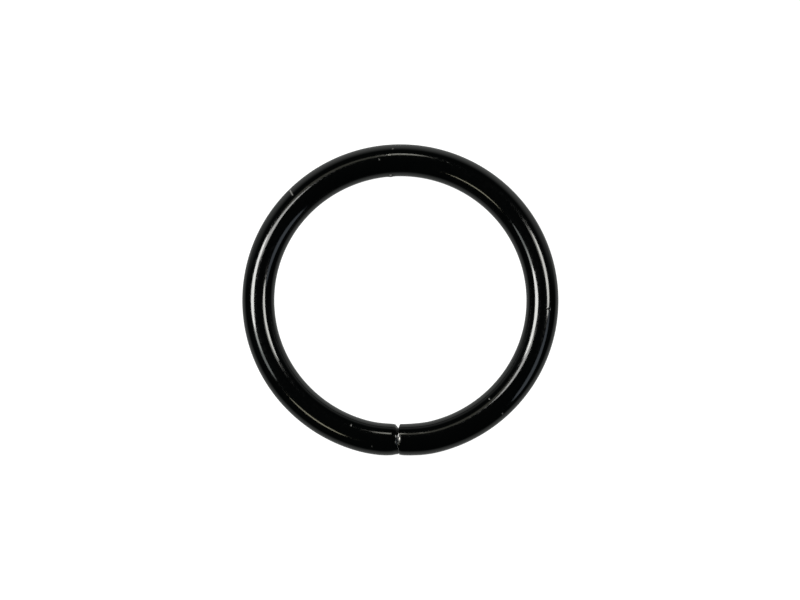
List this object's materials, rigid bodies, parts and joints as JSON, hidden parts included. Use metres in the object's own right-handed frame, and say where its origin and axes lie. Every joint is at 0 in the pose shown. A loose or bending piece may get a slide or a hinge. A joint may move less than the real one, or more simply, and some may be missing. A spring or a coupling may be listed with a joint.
{
  "type": "split key ring",
  "caption": "Round black-coated steel wire ring of one turn, butted at a split, that springs apart to take keys and straps.",
  "frame": {"origin": "centre of the ring, at half the wire's thickness", "axes": "+Z along the ring's axis, -Y from the centre towards the split, +Y towards the crown opposite it, +X to the right with the split at the front"},
  "size_m": [0.0314, 0.0314, 0.0032],
  "materials": {
    "steel": "satin",
    "black_coat": "gloss"
  },
  "bodies": {
    "crown": {"crown_core": "steel", "crown_coat": "black_coat"},
    "left_shoulder": {"left_shoulder_core": "steel", "left_shoulder_coat": "black_coat"},
    "right_shoulder": {"right_shoulder_core": "steel", "right_shoulder_coat": "black_coat"},
    "left_arm": {"left_arm_core": "steel", "left_arm_coat": "black_coat"},
    "right_arm": {"right_arm_core": "steel", "right_arm_coat": "black_coat"}
  },
  "joints": [
    {"name": "twist_left", "type": "hinge", "parent": "crown", "child": "left_shoulder", "pos_m": [-0.00365, 0.01362, 0], "axis": [0.9659, 0.2588, 0], "range_deg": [-6, 6], "stiffness_Nm_per_rad": 28.9},
    {"name": "twist_right", "type": "hinge", "parent": "crown", "child": "right_shoulder", "pos_m": [0.00365, 0.01362, 0], "axis": [-0.9659, 0.2588, 0], "range_deg": [-6, 6], "stiffness_Nm_per_rad": 28.9},
    {"name": "spread_left", "type": "hinge", "parent": "left_shoulder", "child": "left_arm", "pos_m": [-0.00906, 0.0108, 0], "axis": [0, 0, -1], "range_deg": [0, 3], "stiffness_Nm_per_rad": 37.3},
    {"name": "spread_right", "type": "hinge", "parent": "right_shoulder", "child": "right_arm", "pos_m": [0.00906, 0.0108, 0], "axis": [0, 0, 1], "range_deg": [0, 3], "stiffness_Nm_per_rad": 37.3}
  ]
}
